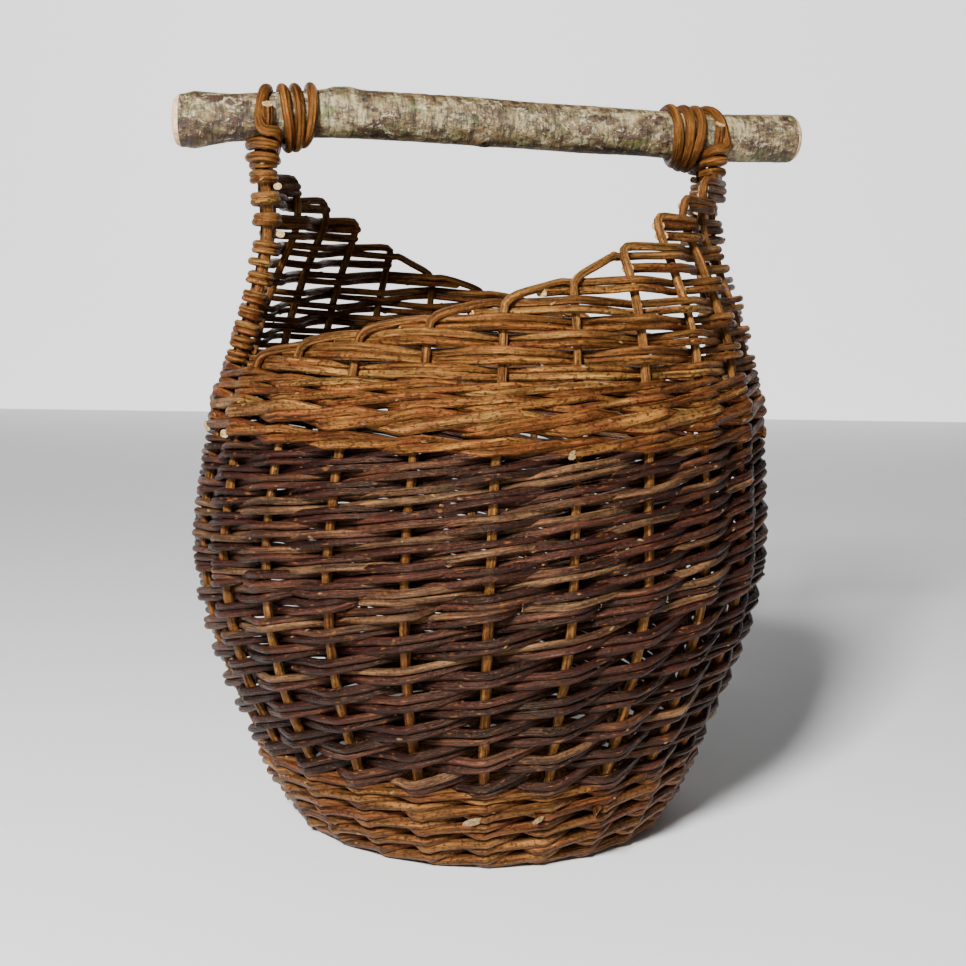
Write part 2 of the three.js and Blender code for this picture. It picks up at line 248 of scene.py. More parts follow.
class Rods:
    """Gathers willow rods into one mesh. Each has its own tone and its own place in the bark's grain."""

    def __init__(self, name, seed, sides=10, spacing=6 * MM, buds=0.09):
        self.name = name
        self.rng = np.random.default_rng(seed)
        self.sides = sides
        self.spacing = spacing
        self.buds = buds
        self.count = 0
        self.size = 0
        self.verts, self.quads, self.tris = [], [], []
        self.quad_uvs, self.tri_uvs = [], []
        self.tones, self.grains, self.cuts = [], [], []

    def _append(self, verts, tone, grain, cut):
        first = self.size
        self.verts.append(verts)
        self.tones.append(np.full(len(verts), tone))
        self.grains.append(grain)
        self.cuts.append(np.broadcast_to(cut, len(verts)))
        self.size += len(verts)
        return first

    def wander(self, s, amplitude, wave):
        total = np.zeros_like(s)
        for octave in (1.0, 1.7, 2.9):
            phase = self.rng.uniform(0, 2 * math.pi)
            total += np.sin(s * 2 * math.pi * octave / wave + phase) / octave
        return total * amplitude * 0.6

    def add(self, points, start, end=None, tone=None, flat=1.0, slant=0.8, rough=1.0, faces=(None, None)):
        """One rod through the points, tapering from start to end radius. A face turns a cut end that way."""
        end = start if end is None else end
        path = smooth_path(points, self.spacing)
        n, sides = len(path), self.sides
        tangents, normals, binormals = turning_frames(path)
        s = np.concatenate([[0], np.cumsum(np.linalg.norm(np.diff(path, axis=0), axis=1))])
        length = s[-1]
        path = path + normals * self.wander(s, 0.28 * MM * rough, 0.11)[:, None]
        path = path + binormals * self.wander(s, 0.34 * MM * rough, 0.09)[:, None]
        tone = self.rng.uniform() if tone is None else tone
        radius = start + (end - start) * s / length
        radius = radius * (1 + self.wander(s, 0.035, 0.05))
        angles = np.arange(sides) * 2 * math.pi / sides
        oval = 1 + 0.035 * np.sin(2 * angles + self.rng.uniform(0, 6)) + 0.02 * np.sin(3 * angles)
        ring_u = np.cos(angles)[None, :] * oval[None, :] * radius[:, None]
        ring_v = np.sin(angles)[None, :] * oval[None, :] * radius[:, None]
        offsets = ring_u[..., None] * normals[:, None, :] + flat * ring_v[..., None] * binormals[:, None, :]
        for row, face, way in ((0, faces[0], 1), (-1, faces[1], -1)):
            toward = normals[row] if face is None else np.array(face)
            offsets[row] += (way * slant * offsets[row] @ toward)[:, None] * tangents[row]
        verts = path[:, None, :] + offsets
        shift = self.rng.uniform(0, 40, 3)
        grain = np.stack([s[:, None] + 0 * ring_u, ring_u, ring_v], -1) + shift
        first = self._append(verts.reshape(-1, 3), tone, grain.reshape(-1, 3), 0.0)
        i = np.arange(n - 1)[:, None]
        j = np.arange(sides)[None, :]
        k = (j + 1) % sides
        quads = np.stack([first + i * sides + j, first + (i + 1) * sides + j,
                          first + (i + 1) * sides + k, first + i * sides + k], -1)
        self.quads.append(quads.reshape(-1, 4)[:, ::-1])
        u0, u1 = s[:-1, None] / length, s[1:, None] / length
        v0, v1 = j / sides, (j + 1) / sides
        one = np.ones((n - 1, sides))
        corners = ((u0, v0), (u1, v0), (u1, v1), (u0, v1))
        uv = [np.stack([u * one, self.count + (STRIP_LOW + STRIP_HIGH * v) * one], -1) for u, v in corners]
        uv = np.stack(uv, 2)
        self.quad_uvs.append(uv.reshape(-1, 4, 2)[:, ::-1])
        for which, row in ((0, 0), (1, n - 1)):
            self._cap(verts[row], path[row], grain[row], tone, which, self.count)
        self._buds(path, tangents, normals, binormals, radius, s, tone, self.count)
        self.count += 1

    def _cap(self, ring, centre, grain, tone, which, strip):
        sides = self.sides
        middle = ring.mean(0)
        verts = np.vstack([ring, middle[None]])
        grain = np.vstack([grain, grain.mean(0)[None]])
        first = self._append(verts, tone, grain, 1.0)
        j = np.arange(sides)
        k = (j + 1) % sides
        tri = np.stack([first + j, first + k, np.full(sides, first + sides)], -1)
        if which == 1:
            tri = tri[:, ::-1]
        self.tris.append(tri[:, ::-1])
        angles = j * 2 * math.pi / sides
        centre_uv = np.array([0.01 + 0.98 * which, strip + STRIP_ENDS])
        rim = centre_uv + 0.004 * np.stack([np.cos(angles), np.sin(angles)], -1)
        uv = np.stack([rim, rim[k], np.broadcast_to(centre_uv, (sides, 2))], 1)
        if which == 1:
            uv = uv[:, ::-1]
        self.tri_uvs.append(uv[:, ::-1])

    def _buds(self, path, tangents, normals, binormals, radius, s, tone, strip):
        """Small scars where side shoots and buds were rubbed off, paler than the bark."""
        every = self.buds
        for place in np.arange(self.rng.uniform(0.02, every), s[-1] - 0.01, every):
            place = min(place + self.rng.uniform(-0.35, 0.35) * every, s[-1] - 0.006)
            i = int(np.clip(np.searchsorted(s, place), 1, len(s) - 2))
            angle = self.rng.uniform(0, 2 * math.pi)
            outward = normals[i] * math.cos(angle) + binormals[i] * math.sin(angle)
            across = np.cross(tangents[i], outward)
            size = self.rng.uniform(0.7, 1.25)
            along, wide, tall = 1.9 * MM * size, 0.95 * MM * size, 0.75 * MM * size
            turn = self.rng.uniform(-0.5, 0.5)
            a = tangents[i] * math.cos(turn) + across * math.sin(turn)
            b = across * math.cos(turn) - tangents[i] * math.sin(turn)
            base = path[i] + outward * radius[i] * 0.93
            ring = [(math.cos(x), math.sin(x)) for x in np.arange(6) * math.pi / 3]
            lower = [base + a * along * x * (1.6 if x > 0 else 1) + b * wide * y for x, y in ring]
            upper = [base + outward * tall + a * along * 0.45 * x + b * wide * 0.5 * y for x, y in ring]
            top = base + outward * tall * 1.15
            verts = np.array(lower + upper + [top])
            cut = np.array([0.05] * 6 + [0.32] * 6 + [0.5]) * self.rng.uniform(0.5, 1.3)
            grain = verts + tone
            first = self._append(verts, tone, grain, np.clip(cut, 0, 0.9))
            j = np.arange(6)
            k = (j + 1) % 6
            quads = np.stack([first + j, first + k, first + 6 + k, first + 6 + j], -1)
            self.quads.append(quads)
            uv = np.array([0.5, strip + STRIP_ENDS])
            self.quad_uvs.append(np.broadcast_to(uv, (6, 4, 2)))
            self.tris.append(np.stack([first + 6 + j, first + 6 + k, np.full(6, first + 12)], -1))
            self.tri_uvs.append(np.broadcast_to(uv, (6, 3, 2)))

    def build(self, material):
        verts = np.concatenate(self.verts)
        quads = np.concatenate(self.quads)
        tris = np.concatenate(self.tris)
        mesh = bpy.data.meshes.new(self.name)
        mesh.vertices.add(len(verts))
        mesh.vertices.foreach_set("co", verts.astype(np.float32).ravel())
        loops = np.concatenate([quads.ravel(), tris.ravel()])
        starts = np.concatenate([np.arange(len(quads)) * 4, len(quads) * 4 + np.arange(len(tris)) * 3])
        mesh.loops.add(len(loops))
        mesh.loops.foreach_set("vertex_index", loops.astype(np.int32))
        mesh.polygons.add(len(starts))
        mesh.polygons.foreach_set("loop_start", starts.astype(np.int32))
        mesh.update(calc_edges=True)
        mesh.validate()
        uv = np.concatenate([np.concatenate(self.quad_uvs).reshape(-1, 2),
                             np.concatenate(self.tri_uvs).reshape(-1, 2)])
        uv = uv * (1, 1 / self.count)
        layer = mesh.uv_layers.new(name="OFBake")
        layer.data.foreach_set("uv", uv.astype(np.float32).ravel())
        store(mesh, "tone", np.concatenate(self.tones))
        store(mesh, "cut", np.concatenate(self.cuts))
        store(mesh, "grain", np.concatenate(self.grains), "FLOAT_VECTOR", "vector")
        return finished(mesh, material)


def place(piece, slot, *nodes):
    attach(piece, "root")
    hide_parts(*nodes)
    return piece


# ---- materials ----


class Graph:
    """A small helper that makes shader nodes and links them."""

    def __init__(self, name):
        self.material = bpy.data.materials.new(name)
        self.material.use_nodes = True
        self.nodes = self.material.node_tree.nodes
        self.links = self.material.node_tree.links
        self.nodes.clear()
        self.bsdf = self.node("ShaderNodeBsdfPrincipled")
        output = self.node("ShaderNodeOutputMaterial")
        self.links.new(self.bsdf.outputs[0], output.inputs[0])

    def node(self, kind, **settings):
        made = self.nodes.new(kind)
        for key, value in settings.items():
            setattr(made, key, value)
        return made

    def fill(self, node, **values):
        for name, value in values.items():
            node.inputs[name.replace("_", " ")].default_value = value

    def link(self, source, target):
        self.links.new(source, target)

    def feed(self, socket, value):
        """Sets a socket to a colour or a number, or links it to another node."""
        if isinstance(value, tuple):
            socket.default_value = (*value, 1)
        elif isinstance(value, (int, float)):
            socket.default_value = value
        else:
            self.link(value, socket)

    def attribute(self, name, output):
        return self.node("ShaderNodeAttribute", attribute_name=name).outputs[output]

    def scaled(self, vector, scale):
        made = self.node("ShaderNodeVectorMath", operation="MULTIPLY")
        self.link(vector, made.inputs[0])
        made.inputs[1].default_value = scale
        return made.outputs[0]

    def noise(self, vector, detail=3.0, roughness=0.55, distortion=0.0):
        made = self.node("ShaderNodeTexNoise")
        self.link(vector, made.inputs["Vector"])
        self.fill(made, Scale=1.0, Detail=detail, Roughness=roughness, Distortion=distortion)
        return made.outputs["Fac"]

    def range(self, value, low, high, out_low=0.0, out_high=1.0):
        made = self.node("ShaderNodeMapRange")
        self.link(value, made.inputs["Value"])
        self.fill(made, From_Min=low, From_Max=high, To_Min=out_low, To_Max=out_high)
        return made.outputs["Result"]

    def math(self, operation, a, b):
        made = self.node("ShaderNodeMath", operation=operation)
        self.feed(made.inputs[0], a)
        self.feed(made.inputs[1], b)
        return made.outputs[0]

    def ramp(self, value, stops):
        made = self.node("ShaderNodeValToRGB")
        ramp = made.color_ramp
        ramp.interpolation = "LINEAR"
        while len(ramp.elements) < len(stops):
            ramp.elements.new(0.5)
        for element, (position, color) in zip(ramp.elements, stops):
            element.position = position
            element.color = (*color, 1)
        self.link(value, made.inputs[0])
        return made.outputs[0]

    def mix(self, factor, a, b, blend="MIX"):
        made = self.node("ShaderNodeMix", data_type="RGBA", blend_type=blend)
        for at, value in ((0, factor), (6, a), (7, b)):
            self.feed(made.inputs[at], value)
        return made.outputs[2]

    def bump(self, height, strength, distance):
        made = self.node("ShaderNodeBump")
        self.fill(made, Strength=strength, Distance=distance)
        self.link(height, made.inputs["Height"])
        return made.outputs[0]


def srgb(red, green, blue):
    """Linear colour from 8-bit display values."""
    def linear(v):
        v /= 255
        return v / 12.92 if v <= 0.04045 else ((v + 0.055) / 1.055) ** 2.4
    return (linear(red), linear(green), linear(blue))


CUT_WOOD = srgb(204, 176, 128)
SCAR = srgb(140, 88, 42)
GLEAM = srgb(236, 172, 112)


# wrinkles along a rod: places in a noise, and how much the bark is darkened or lightened there. The darkening
# is painted shade in the furrows and the lightening is painted highlight on the ridges, over streaks of the
# bark's own colour
STREAK_TONE_AND_PAINTED_LIGHT = [(0.35, 0.09), (0.47, 0.75), (0.57, 1.25), (0.69, 2.6)]


def willow(name, palette, patch, speck, patch_amount, speck_amount, gloss, shade, gleam=GLEAM):
    """Dried willow bark: a tone for each rod, blotches, wrinkles along the rod with painted shade in their
    furrows and painted highlight on their ridges, specks, and pale cut ends.
    """
    g = Graph(name)
    tone = g.attribute("tone", "Fac")
    grain = g.attribute("grain", "Vector")
    cut = g.attribute("cut", "Fac")
    drift = g.noise(g.scaled(grain, (11, 70, 70)), detail=2)
    toned = g.math("ADD", tone, g.range(drift, 0.3, 0.7, -0.28, 0.28))
    stops = [(i / (len(palette) - 1), tuple(v * shade for v in color)) for i, color in enumerate(palette)]
    bark = g.ramp(toned, stops)
    blotch = g.noise(g.scaled(grain, (60, 210, 210)), detail=4, roughness=0.7)
    bark = g.mix(g.range(blotch, 0.5, 0.58, 0, patch_amount), bark, patch)
    streak = g.noise(g.scaled(grain, (24, 430, 430)), detail=3, roughness=0.6)
    # the wrinkle ramp: painted shade in the furrows and painted highlight on the ridges, multiplied into the
    # bark
    streak_tone_and_painted_light = g.ramp(streak, [(at, (level,) * 3) for at, level in STREAK_TONE_AND_PAINTED_LIGHT])
    bark = g.mix(0.9, bark, streak_tone_and_painted_light, "MULTIPLY")
    speckle = g.noise(g.scaled(grain, (330, 460, 460)), detail=3, roughness=0.6)
    bark = g.mix(g.range(speckle, 0.54, 0.6, 0, speck_amount), bark, speck)
    pale = g.noise(g.scaled(grain, (150, 620, 620)), detail=2)
    bark = g.mix(g.range(pale, 0.62, 0.7, 0, 0.45), bark, SCAR)
    rings = g.noise(g.scaled(grain, (700, 700, 700)), detail=2)
    wood = g.mix(g.range(rings, 0.4, 0.65), CUT_WOOD, srgb(150, 108, 62))
    color = g.mix(cut, bark, wood)
    g.link(color, g.bsdf.inputs["Base Color"])
    rough = g.range(blotch, 0.3, 0.7, gloss - 0.08, gloss + 0.16)
    g.link(rough, g.bsdf.inputs["Roughness"])
    height = g.math("ADD", g.math("MULTIPLY", streak, 2.2), g.math("MULTIPLY", speckle, -0.8))
    height = g.math("ADD", height, g.math("MULTIPLY", blotch, 1.4))
    g.link(g.bump(height, 0.9, 1.6 * MM), g.bsdf.inputs["Normal"])
    g.bsdf.inputs["Specular IOR Level"].default_value = 0.34
    g.bsdf.inputs["Specular Tint"].default_value = (*gleam, 1)
    return g.material


DARK = willow(
    "dark_willow_bark",
    [srgb(46, 18, 13), srgb(70, 32, 27), srgb(94, 50, 38), srgb(118, 74, 50), srgb(154, 112, 74)],
    srgb(40, 16, 15), srgb(22, 9, 9), 0.5, 0.5, 0.4, 0.33, srgb(228, 196, 166),
)
LIGHT = willow(
    "light_willow_bark",
    [srgb(112, 64, 30), srgb(140, 90, 42), srgb(158, 108, 54), srgb(124, 68, 36), srgb(172, 126, 66)],
    srgb(86, 38, 22), srgb(36, 15, 8), 0.62, 0.8, 0.36, 0.47,
)
FOOT = willow(
    "foot_willow_bark",
    [srgb(108, 64, 33), srgb(134, 88, 46), srgb(152, 104, 56), srgb(112, 62, 37)],
    srgb(82, 42, 26), srgb(38, 18, 10), 0.62, 0.8, 0.42, 0.42,
)
STAKE = willow(
    "stake_willow_bark",
    [srgb(122, 78, 38), srgb(144, 98, 50), srgb(158, 112, 60)],
    srgb(100, 54, 30), srgb(52, 26, 14), 0.5, 0.55, 0.34, 0.49,
)
LASHING = willow(
    "lashing_willow_bark",
    [srgb(116, 72, 32), srgb(136, 90, 42)],
    srgb(96, 50, 24), srgb(58, 32, 16), 0.4, 0.35, 0.3, 0.5,
)
BASE = willow(
    "base_willow_bark",
    [srgb(98, 60, 28), srgb(126, 82, 38), srgb(144, 98, 48)],
    srgb(84, 46, 24), srgb(44, 22, 12), 0.5, 0.65, 0.5, 0.6,
)

# ---- stakes ----

KINK = 0.11


def past_stake(step, height, side, radius, rise=0.0, up=0.0, stake=STAKE_RADIUS, rise_out=None):
    """Three points that take a rod past a stake, outside it (side 1) or inside it (-1), with a bend at it."""
    out = side * (stake + radius)
    rise_out = rise if rise_out is None else rise_out
    return [
        on_wall(step - KINK, height - KINK * rise, out * 0.84, up),
        on_wall(step, height, out, up),
        on_wall(step + KINK, height + KINK * rise_out, out * 0.84, up),
    ]


def foot_points(step):
    angle = step * STAKE_ANGLE
    return [(middle_x(z) + r * math.cos(angle), r * math.sin(angle), z) for r, z in STAKE_FOOT]


def upright(step, top):
    heights = [h for h in np.arange(0.03, top, 0.032) if h < top - 0.012]
    return foot_points(step) + [on_wall(step, h) for h in heights]


def side_at(step, row):
    """+1 where a row of a panel passes outside the stake at a step, -1 where it passes inside."""
    return 1 if (step - row - 1) % 2 == 0 else -1


ARM_RADIUS = 2.95 * MM
ARM_TIP = 2.2 * MM
HIGH_ARM_TIP = 2.7 * MM
WEAVER = 2.6 * MM
HIGH_WEAVER = 3.15 * MM
ROWS = range(1, HALF - 1)


def row_heights(row):
    """Heights of a row's rods: a weaver or two, and above them the bent-over stake that tops the row."""
    low, high = RIM[row - 1], RIM[row]
    arm = high - ARM_RADIUS
    upper = arm - ARM_RADIUS - WEAVER + 0.2 * MM
    if high - low < 15 * MM:
        return upper, arm
    return (upper + low) / 2 - 0.5 * WEAVER, upper, arm


def arm_slot(step):
    """The row, and which of its rods, that a bent-over stake becomes. The high ones run on level."""
    row = step if step >= LEVEL_FROM else step + 1
    below = 2 if step + 1 == LEVEL_FROM else 1
    return row, len(row_heights(row)) - below


ARM_SLOTS = {arm_slot(step) for step in range(1, HALF - 1)}


def band_height(row, which):
    """Where a row's rod lies where it goes round the post: the upper two lie tight together."""
    heights = row_heights(row)
    if which < len(heights) - 2:
        return heights[which]
    lower, upper = heights[-2:]
    return (lower + upper) / 2 + (which - len(heights) + 1.5) * 1.86 * ARM_TIP


def beyond_post(base, along, height):
    return base + HALF + steps_for(along, height)


def round_post(base, row, which, radius):
    """The end of a row's rod at the post: most go round it, and the lowest of three is cut off beside it."""
    side = side_at(HALF, row)
    height = band_height(row, which)
    wrap = post_wrap(base, height, side, radius)
    if which < len(row_heights(row)) - 2:
        if side > 0:
            return wrap[:4]
        return wrap[:1] + [on_wall(beyond_post(base, 15 * MM, height), height, -POST_ROD_RADIUS - radius)]
    if row >= HALF - 3:
        return wrap
    return wrap + [on_wall(base + HALF - 0.42, height, -side * 1.5 * MM)]


# a stake's bend at the rim: steps along, and mm below its top
LEVEL_BEND = [(0, 15), (0, 8.5), (0.03, 4.6)]
CLIMBING_BEND = [(0, 10), (0.02, 5), (0.1, 1.2)]


def arm_points(panel, step):
    """The bent-over top of a stake. A low one climbs to the next stake's rim; a high one turns off level."""
    base = panel * HALF
    top = RIM[step]
    if step < HALF - 1:
        row, which = arm_slot(step)
        height = row_heights(row)[which]
    else:
        row, height = HALF - 1, top - ARM_RADIUS
    bow = side_at(step + 1, row)
    if step >= LEVEL_FROM:
        points = [on_wall(base + step + along, top - down * MM) for along, down in LEVEL_BEND]
        points.append(on_wall(base + step + 0.11, height + 0.5 * MM))
        points.append(on_wall(base + step + 0.4, height + 0.8 * MM, bow * 2 * MM))
    else:
        points = [on_wall(base + step + along, top - down * MM) for along, down in CLIMBING_BEND]
        points.append(on_wall(base + step + 0.5, (top + height) / 2 + 0.5 * MM, bow * 2.5 * MM))
    for s in range(step + 1, HALF):
        points += past_stake(base + s, height, side_at(s, row), ARM_RADIUS, stake=STAKE_TIP_RADIUS)
    if step < HALF - 1:
        return points + round_post(base, row, which, ARM_TIP)
    return points + post_wrap(base, height, side_at(HALF, row), ARM_TIP)[:5]


def post_wrap(base, height, side, radius):
    """Points of a rod that comes along one side of a post, goes round its two rods, and comes back."""
    wide = post_spread(height) + POST_ROD_RADIUS
    out = side * (POST_ROD_RADIUS + radius)
    places = [(-0.75, 1), (0.7, 1), (1.16, 0.45), (1.16, -0.45), (0.7, -1), (-0.6, -1)]
    return [on_wall(beyond_post(base, wide * a, height), height, out * across) for a, across in places]


def make_stakes():
    for panel, name in ((0, "back_stakes"), (1, "front_stakes")):
        rods = Rods(name, 11 + panel, sides=12, buds=0.16)
        nodes = []
        for step in range(1, HALF):
            stake = panel * HALF + step
            nodes.append(f"stake_{panel * (HALF - 1) + step:02d}")
            points = upright(stake, RIM[step]) + arm_points(panel, step)
            tip = HIGH_ARM_TIP if step >= LEVEL_FROM else ARM_TIP
            rods.add(points, STAKE_RADIUS, tip, tone=rods.rng.uniform(0.1, 0.9), rough=1.2, slant=0.5)
        place(rods.build(STAKE), "stake_willow", *nodes)


# ---- posts ----


def post_spread(z):
    beside = HANDLE_RADIUS + POST_ROD_RADIUS + 1.2 * MM
    heights = [0.42, 0.486, HANDLE_HEIGHT - 0.017, HANDLE_HEIGHT - 0.008]
    return float(np.interp(z, heights, [POST_SPREAD, 6.5 * MM, beside * 0.76, beside]))


def post_x(sign, z):
    return float(middle_x(z)) + sign * float(stake_radius(z))


def post_rod(sign, side, low, high):
    points = []
    for z in np.append(np.arange(low, high - 0.006, 0.012), high):
        points.append((post_x(sign, z), side * post_spread(z), z))
    return points


def make_posts():
    for sign, name, step in ((1, "right_post", 0), (-1, "left_post", HALF)):
        rods = Rods(f"{name}_rods", 31 + step, sides=14, buds=0.14)
        for side, high in ((-1, HANDLE_HEIGHT + 0.006), (1, HANDLE_HEIGHT + 0.003)):
            low = WAIST_TOP + (0.02 if side < 0 else -0.03)
            points = post_rod(sign, side, low, high)
            if side < 0:
                points = upright(step, WAIST_TOP + 0.012) + points
            tone = 0.35 + 0.25 * side
            faces = (None, (0, side, 0))
            rods.add(points, POST_ROD_RADIUS, POST_ROD_RADIUS * 0.9, tone=tone, slant=0.6, faces=faces)
        place(rods.build(STAKE), "stake_willow", f"{name}_stake", f"{name}_liner")


# ---- dark siding ----

# how far the two rods of a pair turn round each other, and how much higher they run behind a stake
PAIR_TWIST = 0.3
BACK_LIFT = -0.8 * MM


def rand_set(rods, low, high, layers, butt, tip, growth):
    """Pairs of rods: each starts at its own stake and climbs one layer a stake, in front, then behind."""
    spans = np.linspace(growth, 1, layers)
    edges = low + (high - low) * np.concatenate([[0], np.cumsum(spans)]) / spans.sum()
    middles = (edges[:-1] + edges[1:]) / 2
    for start in range(STAKES):
        shared = rods.rng.uniform(-0.2, 0.2)
        for member in (-1, 1):
            tone = float(np.clip(rods.rng.beta(1.2, 1.7) + shared, 0, 1))
            size = rods.rng.uniform(0.9, 1.1)
            points = []
            for k in range(layers):
                radius = size * (butt + (tip - butt) * k / layers)
                side = 1 if k % 2 == 0 else -1
                lift = member * radius
                height = middles[k] + rods.rng.uniform(-0.7, 0.7) * MM - side * BACK_LIFT
                climb = edges[k + 1] - edges[k]
                steep, gentle = climb + 2 * BACK_LIFT, climb - 2 * BACK_LIFT
                rise, rise_out = (gentle, steep) if side > 0 else (steep, gentle)
                if k == 0:
                    points.append(on_wall(start - 0.62, edges[0] - 1 * MM, -5.5 * MM, lift * 0.7))
                points += past_stake(start + k, height, side, radius, rise, lift, rise_out=rise_out)
                if k < layers - 1:
                    between = (middles[k] + middles[k + 1]) / 2
                    depth = member * side * radius * PAIR_TWIST
                    points.append(on_wall(start + k + 0.5, between, depth, lift * 1.08))
            points.append(on_wall(start + layers - 0.6, edges[-1] - 2 * MM, -7 * MM, lift * 0.4))
            rods.add(points, butt * size, tip * size, tone=tone, rough=1.3)


def make_dark_siding():
    lower = Rods("dark_siding_lower_rods", 51, sides=9)
    rand_set(lower, FOOT_TOP - 5 * MM, DARK_CHANGE, 13, 3.15 * MM, 2.7 * MM, 1.05)
    place(lower.build(DARK), "dark_willow", "dark_siding_lower", "dark_siding_middle")
    upper = Rods("dark_siding_upper_rods", 52, sides=9)
    rand_set(upper, DARK_CHANGE, DARK_TOP - 4 * MM, 13, 2.75 * MM, 2.4 * MM, 1.12)
    place(upper.build(DARK), "dark_willow", "dark_siding_upper")


# ---- wales ----


# how far above the floor a rod's middle stays, in its own radii
RESTING = 1.14


def wale(rods, centre, butt, tip, phase, run, squeeze=0.95, stray=0.0, bold=()):
    """A round of three-rod waling: each strand goes in front of two stakes, rising, and behind the third."""
    period = 3
    for strand in range(period):
        at = strand
        total = STAKES + strand
        while at < total:
            until = min(at + run + int(rods.rng.integers(-1, 2)) * period, total)
            if total - until < period:
                until = total
            first = at == strand
            points = []
            for k in range(at, until + 1):
                turn = (k - strand) % period
                radius = butt + (tip - butt) * (k - at) / max(1, until - at)
                height = centre + rods.rng.uniform(-0.6, 0.6) * MM
                if turn == 2:
                    points += past_stake(k + phase, height, -1, radius)
                else:
                    up = (turn * 2 - 1) * radius * squeeze
                    points += past_stake(k + phase, height, 1, radius, 2.2 * radius, up)
            proud = first and strand in bold
            if proud:
                lead = on_wall(at + phase - 0.18, centre + 3.5 * MM, 2.2 * butt + STAKE_RADIUS, -butt * 1.6)
            elif stray:
                lead = on_wall(at + phase - 0.12, centre, stray, -butt * 1.7)
            else:
                lead = on_wall(at + phase - 0.45, centre, -5 * MM, -butt * 1.1)
            points.insert(0, lead)
            tail = on_wall(until + phase + 0.4, centre, -6 * MM, 0)
            points.append(tail)
            points = [(x, y, max(z, butt * RESTING)) for x, y, z in points]
            outward = lead - on_wall(at + phase - 0.34, centre)
            face = outward / np.linalg.norm(outward) if proud else None
            size = rods.rng.uniform(0.93, 1.06)
            rods.add(points, butt * size, tip, slant=3 if proud else 0.8, faces=(face, None))
            at = until


# rounds of waling, in mm: height (for the waist, below its top), radius at butt and tip, first stake,
# stakes a rod passes, and which strands show a bold end or how far an end strays out
FOOT_ROUNDS = [
    (9.6, 4.4, 3.7, 0, 12, ()), (24.2, 4.2, 3.5, 1, 12, ()), (38.6, 4.0, 3.3, 2, 12, ()),
    (52.4, 3.9, 3.2, 17, 12, (0, 1, 2)), (63.6, 2.7, 2.3, 1, 9, ()),
]
WAIST_ROUNDS = [
    (40.5, 3.4, 2.9, 0, 9, 9), (26.0, 4.6, 3.9, 1, 12, 0),
    (13.5, 3.1, 2.7, 2, 9, 0), (5.0, 2.8, 2.4, 0, 9, 0),
]


def make_foot():
    rods = Rods("foot_waling_rods", 61, sides=12, spacing=5 * MM, buds=0.07)
    for centre, butt, tip, phase, run, bold in FOOT_ROUNDS:
        wale(rods, centre * MM, butt * MM, tip * MM, phase, run, bold=bold)
    place(rods.build(FOOT), "foot_willow", "upsett_wale_lower", "upsett_wale_upper")


def make_waist():
    rods = Rods("waist_waling_rods", 71, sides=12, spacing=5 * MM, buds=0.06)
    for below, butt, tip, phase, run, stray in WAIST_ROUNDS:
        wale(rods, WAIST_TOP - below * MM, butt * MM, tip * MM, phase, run, stray=stray * MM)
    place(rods.build(LIGHT), "light_willow", "waist_wale_lower", "waist_wale_upper")


# ---- panels ----


def add_row(rods, panel, row):
    """One row of a panel, but for the bent-over stakes that are part of it."""
    base = panel * HALF
    for which, height in enumerate(row_heights(row)):
        if (row, which) in ARM_SLOTS:
            continue
        radius = (HIGH_WEAVER if row >= LEVEL_FROM else WEAVER) * rods.rng.uniform(0.94, 1.06)
        height = height + rods.rng.uniform(-0.4, 0.4) * MM
        if row >= LEVEL_FROM:
            points = [on_wall(base + row, height)]
            passed = row + 1
        else:
            points = [on_wall(base + row - 0.45, height - 1.5 * MM, -3.5 * MM)]
            passed = row
        for s in range(passed, HALF):
            points += past_stake(base + s, height, side_at(s, row), radius, stake=STAKE_TIP_RADIUS)
            if s < HALF - 1:
                points.append(on_wall(base + s + 0.5, height, 0.4 * side_at(s, row) * radius))
        points += round_post(base, row, which, radius * 0.85)
        rods.add(points, radius * 1.08, radius * 0.85)


def make_panels():
    for panel, name in ((0, "back_panel"), (1, "front_panel")):
        rods = Rods(f"{name}_rods", 81 + panel, sides=12, spacing=5 * MM, buds=0.06)
        for row in ROWS:
            add_row(rods, panel, row)
        nodes = [f"{name}_rows_{i}" for i in range(1, HALF // 2 + 1)]
        place(rods.build(LIGHT), "light_willow", *nodes)


# ---- base ----

BASE_MIDDLE = 11 * MM
STICK_END = 112 * MM
STICK_SPACING = 14.8 * MM
STICK_STRAIGHT = 24 * MM
SLIT_STICK_RADIUS = 5.6 * MM
THREADED_RADIUS = 3.4 * MM
BASE_TURN = STAKE_ANGLE / 2
FAN = math.radians(30)


def stick_points(across, lane):
    turn = BASE_TURN + across * math.pi / 2
    angle = lane * FAN
    half = [
        (STICK_STRAIGHT * 0.7, lane * STICK_SPACING),
        (STICK_STRAIGHT * 1.6, lane * STICK_SPACING * 1.25),
        (STICK_END * math.cos(angle), STICK_END * math.sin(angle)),
    ]
    flat = [(-x, y) for x, y in half[::-1]] + half
    c, s = math.cos(turn), math.sin(turn)
    return [(middle_x(0) + x * c - y * s, x * s + y * c, BASE_MIDDLE) for x, y in flat]


